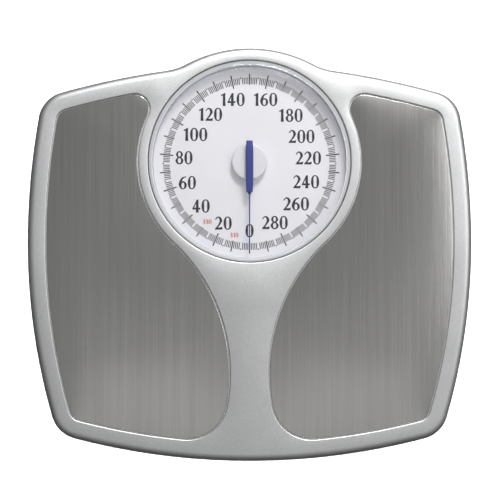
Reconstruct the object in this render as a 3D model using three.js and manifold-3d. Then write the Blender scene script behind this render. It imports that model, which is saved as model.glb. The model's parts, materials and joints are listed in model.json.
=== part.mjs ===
// Mechanical dial platform scale: a pressed steel platform on four knife-edge levers, whose noses
// hang on one main spring and drive a rack, a pinion and a pointer under a domed lens.
// Millimetres, +Z up, the dial end towards +Y. The origin is on the floor under the centre.

import * as THREE from 'three';
import { mergeVertices } from 'three/addons/utils/BufferGeometryUtils.js';
import Module from 'manifold-3d';

const wasm = await Module();
wasm.setup();

// ---- Driving dimensions ----

const GAP = 0.3; // left between pieces that rest on each other

const WIDTH = 394.5;
const DEPTH = 367;
const WIDEST_Y = 13; // where the sides bulge most
const DIAL_Y = 81.6; // centre of the dial

const SKIRT_Z = 15; // lower edge of the cover
const COVER_Z = 58; // its flat top
const COVER_T = 1; // sheet thickness
const EDGE_R = 7; // rounding between top and skirt

const TREAD_INSET = 17.7; // outline of the cover to outline of a tread plate
const TREAD_T = 1;
const TREAD_DROP = 0.3; // top of the plate below the top of the cover
const RECESS_MARGIN = 1; // gap round a tread plate in its recess
const RECESS_Z = COVER_Z - TREAD_DROP - TREAD_T - GAP;

const PAN_Z = 5.5; // underside of the base pan
const PAN_T = 1;
const PAN_INSET = 4.6; // outline of the cover to outer wall of the pan
const PAN_RIM_Z = 25;
const FLOOR_Z = PAN_Z + PAN_T; // inside of the pan, on which the brackets stand
const BRACKET_Z = FLOOR_Z + GAP;

const OPENING_R = 90.2; // hole in the cover for the lens
const LENS_R = 89.3;
const LENS_STEP_R = 86; // foot of the lens's sloping wall
const LENS_DOME_R = 82.3; // top of that wall
const LENS_TOP_Z = 62.4;
const FACE_R = 86.4;
const FACE_Z = 44; // underside of the dial face
const FACE_T = 0.8;
const TRAY_R = 88;
const TRAY_T = 1.2;
const TRAY_Z = FACE_Z - GAP - TRAY_T;
const TRAY_RIM_Z = 51;

const FULCRUM_X = 140;
const LONG_FULCRUM_Y = -140;
const SHORT_FULCRUM_Y = 124;
const FULCRUM_Z = 21;
const LOAD_ARM = 32; // along Y, fulcrum to load knife on all four levers
const NOSE_X = 20;
const NOSE_Y = 116;
const MEET_Y = (LONG_FULCRUM_Y + SHORT_FULCRUM_Y) / 2; // a short lever rests in a long one here
const NOSE_ARM = NOSE_Y - LONG_FULCRUM_Y;
const NOSE_LIFT = 6; // nose above its fulcrum when unloaded, and as far below it when full
const TILT = Math.asin(NOSE_LIFT / NOSE_ARM);
const SPLAY = Math.atan((FULCRUM_X - NOSE_X) / NOSE_ARM); // a lever's angle to the Y axis in plan
const CHANNEL = 12; // width and height of a lever's section
const CHANNEL_T = 1.6;
const KNIFE = 2.5; // half the diagonal of a knife edge's square section
const KNIFE_LENGTH = 28;
const CHEEK_X = 10.5; // inner face of a bracket's cheeks from its centre
const CHEEK_T = 2;
const CHEEK_Y = 7; // half a cheek's width

const TONGUE_Z = [-1.5, 1.6]; // a lever's flat nose, about its middle
const PLATE_TOP_Z = FULCRUM_Z + NOSE_LIFT + TONGUE_Z[0] - 0.5; // spring plate, just under the noses
const PLATE_T = 2;
const PLATE_FRONT_Y = 113.6; // its front edge, clear of the crank's arm
const SPRING_Y = 133;
const HANGER_Z = 37;
const HANGER_T = 2.5;
const WHEEL_Y = 163;
const WHEEL_R = 18;
const WHEEL_Z = [8.8, 12.8];

const CRANK_X = -6;
const CRANK_Y = 100;
const CRANK_Z = 15.8;
const CRANK_SWING = 0.8; // radians from no load to full load
const RACK_T = 1.5;
const MODULE = 0.5;
const TEETH = 11;
const PITCH_R = MODULE * TEETH / 2;
const SHAFT_R = 1;
const FULL_TURN = THREE.MathUtils.degToRad(396); // of the pointer, from no load to full load
const RACK_TRAVEL = FULL_TURN * PITCH_R;
const RACK_Z = CRANK_Z + RACK_TRAVEL / 2 / Math.tan(CRANK_SWING / 2); // mid-plane of the rack
const FRAME_Z = 33.5; // underside of the mechanism frame's deck
const FRAME_T = 1.5;
const FRAME_X = 60; // inner face of its legs
const FRAME_Y = [58, 112];

const HUB_R = 15.7;
const HUB_Z = [45.6, 51.6];
const BAR_Z = [52, 55.2];
const NEEDLE_T = 1;
const NEEDLE_REACH = 77;

const LENS_SIDES = 48;
const ROUND_SIDES = 16;

// ---- Finishes ----

const finish = (color, roughness, metalness) => (
  new THREE.MeshStandardMaterial({ color, roughness, metalness }));
const SILVER_PAINT = finish(0xb9bbbd, 0.45, 0.5);
const BRUSHED_STEEL = finish(0x8c8a86, 0.35, 0.9);
const ZINC_PLATE = finish(0xa9abad, 0.4, 0.85);
const SPRING_STEEL = finish(0x6f7175, 0.35, 0.9);
const DARK_RUBBER = finish(0x1d1d1f, 0.85, 0);
const WHITE_ENAMEL = finish(0xe9e9f2, 0.5, 0);
const WHITE_PLASTIC = finish(0xefeff4, 0.4, 0);
const BLUE_PAINT = finish(0x2d3c96, 0.4, 0);
const BRASS = finish(0xb08d4c, 0.35, 0.9);
const BLACK_PLASTIC = finish(0x242426, 0.5, 0);
const CLEAR_PLASTIC = new THREE.MeshStandardMaterial({
  color: 0xf4f6fa, roughness: 0.08, metalness: 0, transparent: true, opacity: 0.3,
});

// ---- Solids ----

// Merges shared corners and drops the triangles that collapse, as at a lathe's poles.
function closed(geometry) {
  geometry.deleteAttribute('normal');
  geometry.deleteAttribute('uv');
  const merged = mergeVertices(geometry, 1e-4);
  const kept = [];
  for (let i = 0; i < merged.index.count; i += 3) {
    const [a, b, c] = [0, 1, 2].map((k) => merged.index.getX(i + k));
    if (a !== b && b !== c && c !== a) kept.push(a, b, c);
  }
  merged.setIndex(kept);
  return merged;
}

function solid(geometry) {
  const g = closed(geometry);
  const vertProperties = new Float32Array(g.attributes.position.array);
  const triVerts = new Uint32Array(g.index.array);
  return new wasm.Manifold(new wasm.Mesh({ numProp: 3, vertProperties, triVerts }));
}

function toGeometry(manifold) {
  const mesh = manifold.getMesh();
  const geometry = new THREE.BufferGeometry();
  geometry.setAttribute('position', new THREE.BufferAttribute(mesh.vertProperties, 3));
  geometry.setIndex(new THREE.BufferAttribute(mesh.triVerts, 1));
  geometry.computeVertexNormals();
  return geometry;
}

const join = (first, ...others) => (
  toGeometry(others.reduce((sum, g) => sum.add(solid(g)), solid(first))));
const cut = (first, ...tools) => (
  toGeometry(tools.reduce((rest, g) => rest.subtract(solid(g)), solid(first))));

const X = new THREE.Vector3(1, 0, 0);
const Y = new THREE.Vector3(0, 1, 0);
const Z = new THREE.Vector3(0, 0, 1);

// An outline in the XY plane, from z0 up to z1.
function slab(points, z0, z1) {
  const shape = new THREE.Shape(points.map(([x, y]) => new THREE.Vector2(x, y)));
  return new THREE.ExtrudeGeometry(shape, { depth: z1 - z0, bevelEnabled: false }).translate(0, 0, z0);
}

// A section in the XZ plane, from y0 along Y to y1.
function alongY(points, y0, y1) {
  const turned = new THREE.Matrix4().makeBasis(X, Z, Y.clone().negate());
  return slab(points, -y1, -y0).applyMatrix4(turned);
}

// A section in the YZ plane, from x0 along X to x1.
function alongX(points, x0, x1) {
  return slab(points, x0, x1).applyMatrix4(new THREE.Matrix4().makeBasis(Y, Z, X));
}

function block([x0, x1], [y0, y1], [z0, z1]) {
  return new THREE.BoxGeometry(x1 - x0, y1 - y0, z1 - z0)
    .translate((x0 + x1) / 2, (y0 + y1) / 2, (z0 + z1) / 2);
}

// A rod along Z.
function rod(r, z0, z1, sides = ROUND_SIDES) {
  return new THREE.CylinderGeometry(r, r, z1 - z0, sides)
    .rotateX(Math.PI / 2).translate(0, 0, (z0 + z1) / 2);
}

// A profile of [radius, z] points turned about Z.
function turned(profile, sides = ROUND_SIDES) {
  const points = profile.map(([r, z]) => new THREE.Vector2(r, z));
  return closed(new THREE.LatheGeometry(points, sides).rotateX(Math.PI / 2));
}

class Helix extends THREE.Curve {
  constructor(radius, turns, height) {
    super();
    Object.assign(this, { radius, turns, height });
  }

  getPoint(t, target = new THREE.Vector3()) {
    const a = 2 * Math.PI * this.turns * t;
    return target.set(this.radius * Math.cos(a), this.radius * Math.sin(a), this.height * t);
  }
}

// A coil of wire that stands on its own origin.
function coil({ radius, turns, length, wire, stepsPerTurn = 8, sides = 5 }) {
  const section = new THREE.Shape();
  for (let i = 0; i < sides; i += 1) {
    const a = 2 * Math.PI * i / sides;
    section[i ? 'lineTo' : 'moveTo'](wire / 2 * Math.cos(a), wire / 2 * Math.sin(a));
  }
  section.closePath();
  const path = new Helix(radius, turns, length - wire);
  return closed(new THREE.ExtrudeGeometry(section, {
    extrudePath: path, steps: Math.round(turns * stepsPerTurn), bevelEnabled: false,
  }).translate(0, 0, wire / 2));
}

// ---- Outlines of tangent arcs ----
// An outline is a ring of circles {x, y, s, steps} walked anticlockwise, each tangent to the next.
// A positive radius s bulges outwards and a negative one inwards, so growing the outline by an
// amount only adds it to every radius.

// The circle of signed radius s that touches circles a and b; side picks one of the two places.
function filletBetween(a, b, s, side, steps) {
  const ra = Math.abs(a.s - s);
  const rb = Math.abs(b.s - s);
  const [dx, dy] = [b.x - a.x, b.y - a.y];
  const d = Math.hypot(dx, dy);
  const along = (d * d + ra * ra - rb * rb) / (2 * d);
  const off = side * Math.sqrt(ra * ra - along * along);
  return { x: a.x + (along * dx - off * dy) / d, y: a.y + (along * dy + off * dx) / d, s, steps };
}

function outline(arcs, grow = 0) {
  const points = [];
  const towards = (a, b) => Math.atan2((b.y - a.y) / (a.s - b.s), (b.x - a.x) / (a.s - b.s));
  arcs.forEach((arc, i) => {
    const from = towards(arcs.at(i - 1), arc);
    let sweep = towards(arc, arcs[(i + 1) % arcs.length]) - from;
    if (arc.s > 0 && sweep < 0) sweep += 2 * Math.PI;
    if (arc.s < 0 && sweep > 0) sweep -= 2 * Math.PI;
    for (let k = 0; k < arc.steps; k += 1) {
      const a = from + sweep * k / arc.steps;
      points.push([arc.x + (arc.s + grow) * Math.cos(a), arc.y + (arc.s + grow) * Math.sin(a)]);
    }
  });
  return points;
}

const mirrored = (points) => points.map(([x, y]) => [-x, y]).reverse();

// Outlines of one ring of arcs at [growth, z] levels from the bottom up, closed at both ends.
function loft(arcs, levels) {
  const loops = levels.map(([grow, z]) => outline(arcs, grow).map(([x, y]) => [x, y, z]));
  const n = loops[0].length;
  const index = [];
  for (let level = 1; level < loops.length; level += 1) {
    for (let i = 0; i < n; i += 1) {
      const [a, b] = [(level - 1) * n + i, (level - 1) * n + (i + 1) % n];
      index.push(a, b, b + n, a, b + n, a + n);
    }
  }
  const cap = (loop) => (
    THREE.ShapeUtils.triangulateShape(loop.map(([x, y]) => new THREE.Vector2(x, y)), []));
  const last = (loops.length - 1) * n;
  cap(loops[0]).forEach(([a, b, c]) => index.push(a, c, b));
  cap(loops.at(-1)).forEach(([a, b, c]) => index.push(a + last, b + last, c + last));
  const geometry = new THREE.BufferGeometry();
  geometry.setAttribute('position', new THREE.Float32BufferAttribute(loops.flat(2), 3));
  geometry.setIndex(index);
  return geometry;
}

// [growth, z] levels of a rounded upper edge of radius r under the height z.
function roundedEdge(grow, r, z, steps) {
  return Array.from({ length: steps + 1 }, (_, k) => {
    const a = Math.PI / 2 * k / steps;
    return [grow - r * (1 - Math.cos(a)), z - r * (1 - Math.sin(a))];
  });
}

// The platform's outline: bowed front, sides and shoulders, and a dome round the dial.
const FRONT = { x: 0, y: 615 - DEPTH / 2, s: 615, steps: 10 };
const SIDE_LOW = { x: WIDTH / 2 - 556, y: WIDEST_Y, s: 556, steps: 4 };
const SIDE_HIGH = { x: WIDTH / 2 - 656, y: WIDEST_Y, s: 656, steps: 4 };
const SHOULDER = { x: -22.2, y: -530, s: 700, steps: 3 };
const DOME = { x: 0, y: DEPTH / 2 - 120, s: 120, steps: 10 };
const FRONT_CORNER = filletBetween(SIDE_LOW, FRONT, 28, -1, 7);
const REAR_CORNER = filletBetween(SHOULDER, SIDE_HIGH, 28, -1, 7);
const NECK = filletBetween(DOME, SHOULDER, -55, 1, 4);
const RIGHT_ARCS = [FRONT_CORNER, SIDE_LOW, SIDE_HIGH, REAR_CORNER, SHOULDER, NECK];
const LEFT_ARCS = RIGHT_ARCS.map((arc) => ({ ...arc, x: -arc.x })).reverse();
const BODY = [FRONT, ...RIGHT_ARCS, DOME, ...LEFT_ARCS];

// A tread plate's outline: the platform's own, inset, then round the dial and down the middle.
const inset = (arc) => ({ ...arc, s: arc.s - TREAD_INSET, steps: Math.ceil(arc.steps * 0.7) });
const DIAL_SIDE = { x: 0, y: DIAL_Y, s: -99.5, steps: 9 };
const WAIST_R = 157;
const WAIST_ANGLE = THREE.MathUtils.degToRad(-47);
const WAIST = {
  x: (WAIST_R - DIAL_SIDE.s) * Math.cos(WAIST_ANGLE),
  y: DIAL_Y + (WAIST_R - DIAL_SIDE.s) * Math.sin(WAIST_ANGLE),
  s: WAIST_R, steps: 7,
};
const TREAD_FRONT = inset(FRONT);
const TREAD_SHOULDER = inset(SHOULDER);
const RIGHT_TREAD = [
  TREAD_FRONT, inset(FRONT_CORNER), inset(SIDE_LOW), inset(SIDE_HIGH), inset(REAR_CORNER), TREAD_SHOULDER,
  filletBetween(DIAL_SIDE, TREAD_SHOULDER, 12.5, 1, 5),
  DIAL_SIDE, WAIST,
  filletBetween(WAIST, TREAD_FRONT, 35, 1, 6),
];
const treadOutline = (side, grow = 0) => {
  const points = outline(RIGHT_TREAD, grow);
  return side > 0 ? points : mirrored(points);
};

// ---- The scene ----

const scale = new THREE.Group();

function place(name, geometry, material, position = [0, 0, 0], rotation = [0, 0, 0], parent = scale) {
  const mesh = new THREE.Mesh(geometry, material);
  mesh.name = name;
  mesh.position.set(...position);
  mesh.rotation.set(...rotation);
  parent.add(mesh);
}

const SIDES = [['left', -1], ['right', 1]];

// ---- Base pan, feet and lever brackets ----

const FEET = [['front', 155, -118], ['rear', 158, 105]];
const TIE_SPRINGS = [['front', -60], ['rear', 40]];
const TIE_X = 145;
const TIE_Z = [12, 52.2];
const FOOT_HOLE_R = 4;
const SCREW_HOLE_R = 2;

function basePan() {
  const corner = 5;
  const bottom = (r, inward, z, steps) => (
    roundedEdge(-inward, r, 0, steps).reverse().map(([grow, depth]) => [grow, z - depth]));
  const outside = bottom(corner, PAN_INSET, PAN_Z, 3);
  const inside = bottom(corner - PAN_T, PAN_INSET + PAN_T, FLOOR_Z, 2);
  const shell = loft(BODY, [...outside, [-PAN_INSET, PAN_RIM_Z]]);
  const hollow = loft(BODY, [...inside, [-PAN_INSET - PAN_T, PAN_RIM_Z + 1]]);
  const holes = SIDES.flatMap(([, side]) => FEET.map(([, x, y]) => (
    rod(FOOT_HOLE_R, PAN_Z - 1, FLOOR_Z + 1).translate(side * x, y, 0))));
  const wheelSlot = block([-13, 13], [DEPTH / 2 - 14, DEPTH / 2], [WHEEL_Z[0] - 0.6, WHEEL_Z[1] + 0.6]);
  const screwHole = rod(SCREW_HOLE_R, PAN_Z - 1, FLOOR_Z + 1, 12).translate(0, WHEEL_Y, 0);
  const tabs = SIDES.flatMap(([, side]) => TIE_SPRINGS.map(([, y]) => (
    block([side * TIE_X - 0.8, side * TIE_X + 0.8], [y - 4, y + 4], [FLOOR_Z - 0.5, TIE_Z[0] - GAP]))));
  return join(cut(shell, hollow, ...holes, wheelSlot, screwHole), ...tabs);
}

// A push-in foot: pad, neck through the pan, and the bulb that holds it.
function foot() {
  return turned([
    [0, 0], [10, 0], [11, 1], [11, 4], [10.2, PAN_Z - GAP], [3.6, PAN_Z - GAP], [3.6, FLOOR_Z + GAP],
    [5.5, FLOOR_Z + GAP], [3, 9.8], [0, 9.8],
  ]);
}

// Square notch with its point at z, opening along direction (1 up, -1 down).
function notch(z, direction, reach = 8) {
  const opening = z + direction * reach;
  const points = [[0, z], [direction * reach, opening], [-direction * reach, opening]];
  return alongX(points, -KNIFE_LENGTH, KNIFE_LENGTH);
}

const KNIFE_SEAT = KNIFE + GAP * Math.SQRT2; // centre of a knife edge to the point of its notch
const NOTCH_CHEEK = 2.1; // centre of a knife edge to the open side of its notch

// A U-bracket with notched cheeks, on which a lever's fulcrum knife rocks.
function fulcrumBracket() {
  const [inner, outer, flange] = [CHEEK_X, CHEEK_X + CHEEK_T, CHEEK_X + CHEEK_T + 3];
  const [base, sole, top] = [BRACKET_Z, BRACKET_Z + 1.5, FULCRUM_Z + NOTCH_CHEEK];
  const u = alongY([
    [-flange, base], [flange, base], [flange, sole], [outer, sole], [outer, top], [inner, top],
    [inner, sole], [-inner, sole], [-inner, top], [-outer, top], [-outer, sole], [-flange, sole],
  ], -CHEEK_Y, CHEEK_Y);
  return cut(u, notch(FULCRUM_Z - KNIFE_SEAT, 1));
}

place('base_pan', basePan(), SILVER_PAINT);
for (const [sideName, side] of SIDES) {
  for (const [end, x, y] of FEET) place(`foot_${end}_${sideName}`, foot(), DARK_RUBBER, [side * x, y, 0]);
  for (const [end, y] of [['front', LONG_FULCRUM_Y], ['rear', SHORT_FULCRUM_Y]]) {
    place(`fulcrum_bracket_${end}_${sideName}`, fulcrumBracket(), ZINC_PLATE, [side * FULCRUM_X, y, 0]);
  }
  for (const [end, y] of TIE_SPRINGS) {
    const spring = coil({
      radius: 3.6, turns: 6, length: TIE_Z[1] - TIE_Z[0], wire: 1.2, stepsPerTurn: 6, sides: 4,
    });
    place(`tie_spring_${end}_${sideName}`, spring, SPRING_STEEL, [side * TIE_X, y, TIE_Z[0]]);
  }
}

// ---- Platform: cover, tread plates, lens, rails and load shackles ----

function platformCover() {
  const skin = loft(BODY, [[0, SKIRT_Z], ...roundedEdge(0, EDGE_R, COVER_Z, 4)]);
  const under = COVER_Z - COVER_T;
  const hollow = solid(loft(BODY, [
    [-COVER_T, SKIRT_Z - 1], ...roundedEdge(-COVER_T, EDGE_R - COVER_T, under, 3),
  ]));
  // the sheet keeps its thickness where the recesses are pressed down
  const pressed = SIDES.map(([, side]) => (
    slab(treadOutline(side, RECESS_MARGIN + COVER_T), RECESS_Z - COVER_T, COVER_Z)));
  const recesses = SIDES.map(([, side]) => slab(treadOutline(side, RECESS_MARGIN), RECESS_Z, COVER_Z + 1));
  const opening = rod(OPENING_R, under - 5, COVER_Z + 1, LENS_SIDES).translate(0, DIAL_Y, 0);
  const room = pressed.reduce((rest, pad) => rest.subtract(solid(pad)), hollow);
  return cut(toGeometry(solid(skin).subtract(room)), ...recesses, opening);
}

function treadPlate(side) {
  return slab(treadOutline(side), RECESS_Z + GAP, RECESS_Z + GAP + TREAD_T);
}

const FLANGE_Z = [COVER_Z - COVER_T - GAP - 1.6, COVER_Z - COVER_T - GAP]; // lens flange, under the cover
const FLANGE_R = 93;
const RETAINER_R = [91, 96];

// A clear disc with a flange under the cover, a flat rim, a sloping step and a shallow dome.
function dialLens() {
  const crown = 1.4;
  const dome = (z, r0) => [1, 0.66, 0.33, 0].map((f) => [r0 * f, z - crown * f * f]);
  const [low, high, inner] = [...FLANGE_Z, LENS_STEP_R - 1.8];
  return turned([
    ...dome(LENS_TOP_Z - 2, LENS_DOME_R - 1.6).reverse(),
    [inner, COVER_Z - 1.8], [inner, low], [FLANGE_R, low], [FLANGE_R, high],
    [LENS_R, high], [LENS_R, COVER_Z + 0.1], [LENS_STEP_R, COVER_Z + 0.3],
    ...dome(LENS_TOP_Z, LENS_DOME_R),
  ], LENS_SIDES);
}

// The ring under the cover that holds the lens's flange up.
function lensRetainer() {
  const [inner, outer] = RETAINER_R;
  const [low, shelf, high] = [FLANGE_Z[0] - GAP - 1.3, FLANGE_Z[0] - GAP, FLANGE_Z[1]];
  return turned([
    [inner, low], [outer, low], [outer, high], [outer - 2, high], [outer - 2, shelf], [inner, shelf],
    [inner, low],
  ], LENS_SIDES);
}

const RAIL_Y = [-128, 112];
const RAIL_TOP_Z = RECESS_Z - COVER_T - GAP;
const RAIL_DEPTH = 8.5;
const RAIL_X = FULCRUM_X - LOAD_ARM * Math.tan(SPLAY); // over the load knives

// A top-hat rail under each tread, which spreads the load to its two shackles.
function rail() {
  const [z0, z1, t] = [RAIL_TOP_Z - RAIL_DEPTH, RAIL_TOP_Z, 1.5];
  const [half, brim] = [15, 23];
  return alongY([
    [-half, z0], [half, z0], [half, z1 - t], [brim, z1 - t], [brim, z1], [half - t, z1],
    [half - t, z0 + t], [t - half, z0 + t], [t - half, z1], [-brim, z1], [-brim, z1 - t], [-half, z1 - t],
  ], ...RAIL_Y);
}

// A strap that hangs from a rail and rides on a lever's load knife with two notched legs.
function loadShackle(knifeZ) {
  const [inner, outer] = [CHEEK_X, CHEEK_X + CHEEK_T];
  const [end, top] = [knifeZ - NOTCH_CHEEK, RAIL_TOP_Z - RAIL_DEPTH - GAP];
  const u = alongY([
    [-outer, end], [-inner, end], [-inner, top - 1.5], [inner, top - 1.5], [inner, end], [outer, end],
    [outer, top], [-outer, top],
  ], -CHEEK_Y, CHEEK_Y);
  return cut(u, notch(knifeZ + KNIFE_SEAT, -1));
}

place('platform_cover', platformCover(), SILVER_PAINT);
place('dial_lens', dialLens(), CLEAR_PLASTIC, [0, DIAL_Y, 0]);
place('lens_retainer', lensRetainer(), BLACK_PLASTIC, [0, DIAL_Y, 0]);
const LOAD_KNIFE_Z = FULCRUM_Z + LOAD_ARM * Math.sin(TILT);
for (const [sideName, side] of SIDES) {
  place(`tread_plate_${sideName}`, treadPlate(side), BRUSHED_STEEL);
  place(`platform_rail_${sideName}`, rail(), ZINC_PLATE, [side * RAIL_X, 0, 0]);
  for (const [end, y] of [['front', LONG_FULCRUM_Y + LOAD_ARM], ['rear', SHORT_FULCRUM_Y - LOAD_ARM]]) {
    place(`load_shackle_${end}_${sideName}`, loadShackle(LOAD_KNIFE_Z), ZINC_PLATE, [side * RAIL_X, y, 0]);
  }
}

// ---- Levers ----
// A lever is built about its own fulcrum, running towards +Y and splayed in plan, then tilted.

function channel(from, to) {
  const [outer, inner] = [CHANNEL / 2, CHANNEL / 2 - CHANNEL_T];
  return alongY([
    [-outer, -outer], [-inner, -outer], [-inner, inner], [inner, inner], [inner, -outer], [outer, -outer],
    [outer, outer], [-outer, outer],
  ], from, to);
}

const diamond = (half, y, length) => (
  alongX([[y - half, 0], [y, -half], [y + half, 0], [y, half]], -length / 2, length / 2));

// A pressed channel with square holes for its two knives and a flat tongue at its nose.
function lever(side, reach, tongue, beyond, tools = [], extras = []) {
  const splayed = (geometry) => geometry.rotateZ(side * SPLAY);
  const length = reach / Math.cos(SPLAY);
  const end = length - tongue;
  const body = splayed(channel(-11, end));
  const nose = splayed(block([-3, 3], [end - 4, length + beyond], TONGUE_Z));
  const web = splayed(block([-3, 3], [end - 4, end - 1], [TONGUE_Z[0], CHANNEL / 2 - 1]));
  const holes = [0, LOAD_ARM].map((y) => (
    diamond(KNIFE_SEAT, y, KNIFE_LENGTH).translate(-side * y * Math.tan(SPLAY), 0, 0)));
  return join(cut(body, ...holes, ...tools), nose, web, ...extras);
}

const PIN_R = 1.2;
const pinHole = () => rod(PIN_R + GAP, -9, 9, 12).rotateY(Math.PI / 2);

const MEET_REACH = MEET_Y - LONG_FULCRUM_Y;
const LINK_Z = -3.95; // link pin below the middle of the long lever
const meetingPoint = (side) => [-side * MEET_REACH * Math.tan(SPLAY), MEET_REACH];

// The outer wall has a window for the short lever's tongue, which rests on a pin inside.
function longLever(side) {
  const window = block(side > 0 ? [0, CHANNEL] : [-CHANNEL, 0], [-4, 13], [-2.2, 3.6]);
  const tools = [window, pinHole().translate(0, 0, LINK_Z)]
    .map((g) => g.rotateZ(side * SPLAY).translate(...meetingPoint(side), 0));
  return lever(side, NOSE_ARM, 12, 3, tools);
}

function shortLever(side) {
  const heel = block([-2, 2], [-1.5, 1.5], [LINK_Z + PIN_R + GAP, TONGUE_Z[0] + 0.2])
    .rotateZ(side * SPLAY).translate(...meetingPoint(side), 0);
  return lever(side, MEET_REACH, 15, 1.5, [], [heel]);
}

const knife = () => diamond(KNIFE, 0, KNIFE_LENGTH);

for (const [sideName, side] of SIDES) {
  const long = new THREE.Group();
  long.position.set(side * FULCRUM_X, LONG_FULCRUM_Y, FULCRUM_Z);
  long.rotation.x = TILT;
  place(`long_lever_${sideName}`, longLever(side), ZINC_PLATE, [0, 0, 0], [0, 0, 0], long);
  const linkPin = rod(PIN_R, -7, 7, 12).rotateY(Math.PI / 2).rotateZ(side * SPLAY);
  place(`link_pin_${sideName}`, linkPin, SPRING_STEEL, [...meetingPoint(side), LINK_Z], [0, 0, 0], long);

  const short = new THREE.Group();
  short.position.set(side * FULCRUM_X, SHORT_FULCRUM_Y, FULCRUM_Z);
  short.rotation.set(-TILT, 0, Math.PI);
  place(`short_lever_${sideName}`, shortLever(-side), ZINC_PLATE, [0, 0, 0], [0, 0, 0], short);

  for (const [group, name, built] of [[long, 'long', side], [short, 'short', -side]]) {
    const loadX = -built * LOAD_ARM * Math.tan(SPLAY);
    place(`${name}_fulcrum_knife_${sideName}`, knife(), SPRING_STEEL, [0, 0, 0], [0, 0, 0], group);
    place(`${name}_load_knife_${sideName}`, knife(), SPRING_STEEL, [loadX, LOAD_ARM, 0], [0, 0, 0], group);
    scale.add(group);
  }
}

// ---- Spring plate, main spring and zero adjuster ----

const HANGER_ARM_X = 19.2;
const HANGER_ARM_Y = [147, 153];
const SCREW_R = 2.2;

function springPlate() {
  const [front, x] = [PLATE_FRONT_Y, 28];
  return slab([
    [-x, front], [x, front], [x, 124], [11, 141.5], [-11, 141.5], [-x, 124],
  ], PLATE_TOP_Z - PLATE_T, PLATE_TOP_Z);
}

// A T-shaped arm: its stem holds the spring, its nut rides the screw, its bar slides in the guide.
function springHanger() {
  const [y0, y1] = HANGER_ARM_Y;
  const [front, rear, stem, arm] = [124, 168, 6, HANGER_ARM_X];
  const tee = slab([
    [-stem, front], [stem, front], [stem, y0], [arm, y0], [arm, y1], [stem, y1], [stem, rear],
    [-stem, rear], [-stem, y1], [-arm, y1], [-arm, y0], [-stem, y0],
  ], HANGER_Z, HANGER_Z + HANGER_T);
  return cut(tee, rod(SCREW_R + GAP, HANGER_Z - 1, HANGER_Z + HANGER_T + 1).translate(0, WHEEL_Y, 0));
}

function hangerGuide() {
  const [x0, x1] = [HANGER_ARM_X + 0.5, HANGER_ARM_X + 2];
  const [base, sole, top] = [BRACKET_Z, BRACKET_Z + 1.2, 41.8];
  return alongY([
    [-x1, base], [x1, base], [x1, top], [x0, top], [x0, sole], [-x0, sole], [-x0, top], [-x1, top],
  ], HANGER_ARM_Y[0] + 1, HANGER_ARM_Y[1] - 1);
}

function zeroWheel() {
  const knurls = 40;
  const rim = Array.from({ length: 2 * knurls }, (_, i) => {
    const r = i % 2 ? WHEEL_R : WHEEL_R - 0.8;
    return [r * Math.cos(Math.PI * i / knurls), r * Math.sin(Math.PI * i / knurls)];
  });
  return cut(slab(rim, ...WHEEL_Z), rod(SCREW_R + GAP, WHEEL_Z[0] - 1, WHEEL_Z[1] + 1));
}

const mainSpring = coil({
  radius: 7.4, turns: 4, length: HANGER_Z - PLATE_TOP_Z - 2 * GAP, wire: 2, stepsPerTurn: 12, sides: 6,
});
place('spring_plate', springPlate(), ZINC_PLATE);
place('main_spring', mainSpring, SPRING_STEEL, [0, SPRING_Y, PLATE_TOP_Z + GAP]);
place('spring_hanger', springHanger(), ZINC_PLATE);
place('hanger_guide', hangerGuide(), ZINC_PLATE);
place('zero_wheel', zeroWheel(), BLACK_PLASTIC, [0, WHEEL_Y, 0]);
const [SCREW_END_Z, SCREW_NECK_Z, SCREW_TOP_Z] = [PAN_Z + 0.5, BRACKET_Z + 0.4, 41.6];
place('zero_screw', turned([
  [0, SCREW_END_Z], [1.6, SCREW_END_Z], [1.6, SCREW_NECK_Z], [SCREW_R, SCREW_NECK_Z], [SCREW_R, SCREW_TOP_Z],
  [0, SCREW_TOP_Z],
]), BRASS, [0, WHEEL_Y, 0]);

// ---- Crank, rack and pinion ----

function crankBracket() {
  const [inner, outer, flange] = [2, 3.5, 9.5];
  const [base, sole, top] = [BRACKET_Z, BRACKET_Z + 1.2, 19.5];
  const u = alongY([
    [-outer, base], [flange, base], [flange, sole], [outer, sole], [outer, top], [inner, top],
    [inner, sole], [-inner, sole], [-inner, top], [-outer, top],
  ], -6, 6);
  return cut(u, pinHole().translate(0, 0, CRANK_Z));
}

// One arm lies under the spring plate and the other's finger stands in the rack's slot.
function bellCrank() {
  const lower = [[-3.5, -3], [3, -3.8], [15.4, -1.2], [16.4, 0], [15.4, 0.9], [13, 0], [4.6, 1.8]];
  const upper = [[2.4, 5], [1.2, 14], [1.2, 25.3], [-1.2, 25.3], [-1.2, 14], [-3.5, 4]];
  return cut(alongX([...lower, ...upper], -1, 1), pinHole());
}

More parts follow.
